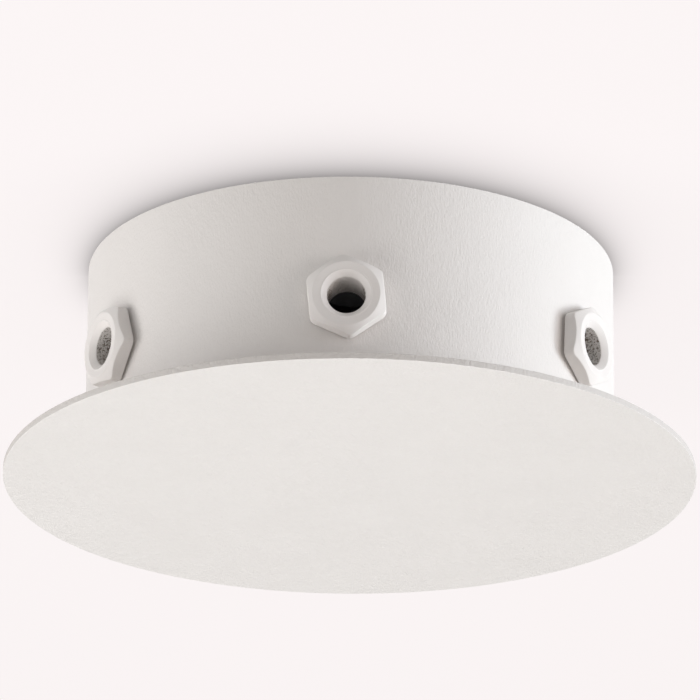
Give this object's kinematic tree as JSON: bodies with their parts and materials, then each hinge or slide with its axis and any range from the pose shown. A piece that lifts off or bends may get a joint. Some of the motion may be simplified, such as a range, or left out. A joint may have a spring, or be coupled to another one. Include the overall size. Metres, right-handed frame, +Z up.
{
  "type": "ceiling rose",
  "caption": "Round surface-mounted ceiling rose for several pendant cables: steel drum with hexagonal side outlets and a wider flat magnetic cover.",
  "frame": {"origin": "centre of the ceiling plane that the drum's closed end lies on", "axes": "+Z up into the ceiling along the drum's axis; -Y is the front, with one cable outlet; the cover comes off along -Z"},
  "size_m": [0.1562, 0.1562, 0.0498],
  "materials": {
    "white_textured_paint": "matt fine-textured powder coat",
    "white_smooth_paint": "matt smooth powder coat",
    "white_nipple_paint": "matt powder coat with softened edges",
    "terminal_nylon": "moulded, satin",
    "zinc_plated_steel": "zinc plated, satin",
    "nickel_plated_steel": "nickel plated",
    "magnet_ferrite": "ground, dark grey",
    "grey_rubber": "moulded",
    "terminal_brass": "machined"
  },
  "bodies": {
    "canopy": {"canopy_drum": "white_textured_paint", "cable_nipple_1": "white_nipple_paint", "cable_nipple_2": "white_nipple_paint", "cable_nipple_3": "white_nipple_paint", "cable_nipple_4": "white_nipple_paint", "cable_nipple_5": "white_nipple_paint", "cable_nipple_6": "white_nipple_paint", "nipple_lock_washers": "zinc_plated_steel", "nipple_lock_nuts": "zinc_plated_steel", "magnet_bracket_1": "zinc_plated_steel", "magnet_cup_1": "nickel_plated_steel", "magnet_ring_1": "magnet_ferrite", "magnet_bracket_2": "zinc_plated_steel", "magnet_cup_2": "nickel_plated_steel", "magnet_ring_2": "magnet_ferrite", "magnet_bracket_3": "zinc_plated_steel", "magnet_cup_3": "nickel_plated_steel", "magnet_ring_3": "magnet_ferrite", "magnet_screws": "zinc_plated_steel", "magnet_nuts": "zinc_plated_steel", "entry_grommet": "grey_rubber", "terminal_housing": "terminal_nylon", "terminal_tubes": "terminal_brass", "terminal_screws": "zinc_plated_steel", "terminal_fixing_screws": "zinc_plated_steel", "earth_washer": "zinc_plated_steel", "earth_screw": "terminal_brass"},
    "cover": {"cover_disc": "white_smooth_paint", "cover_centring_tabs": "white_smooth_paint"}
  },
  "joints": [
    {"name": "cover_release", "type": "slide", "parent": "canopy", "child": "cover", "axis": [0, 0, -1], "range_m": [0, 0.06]}
  ]
}
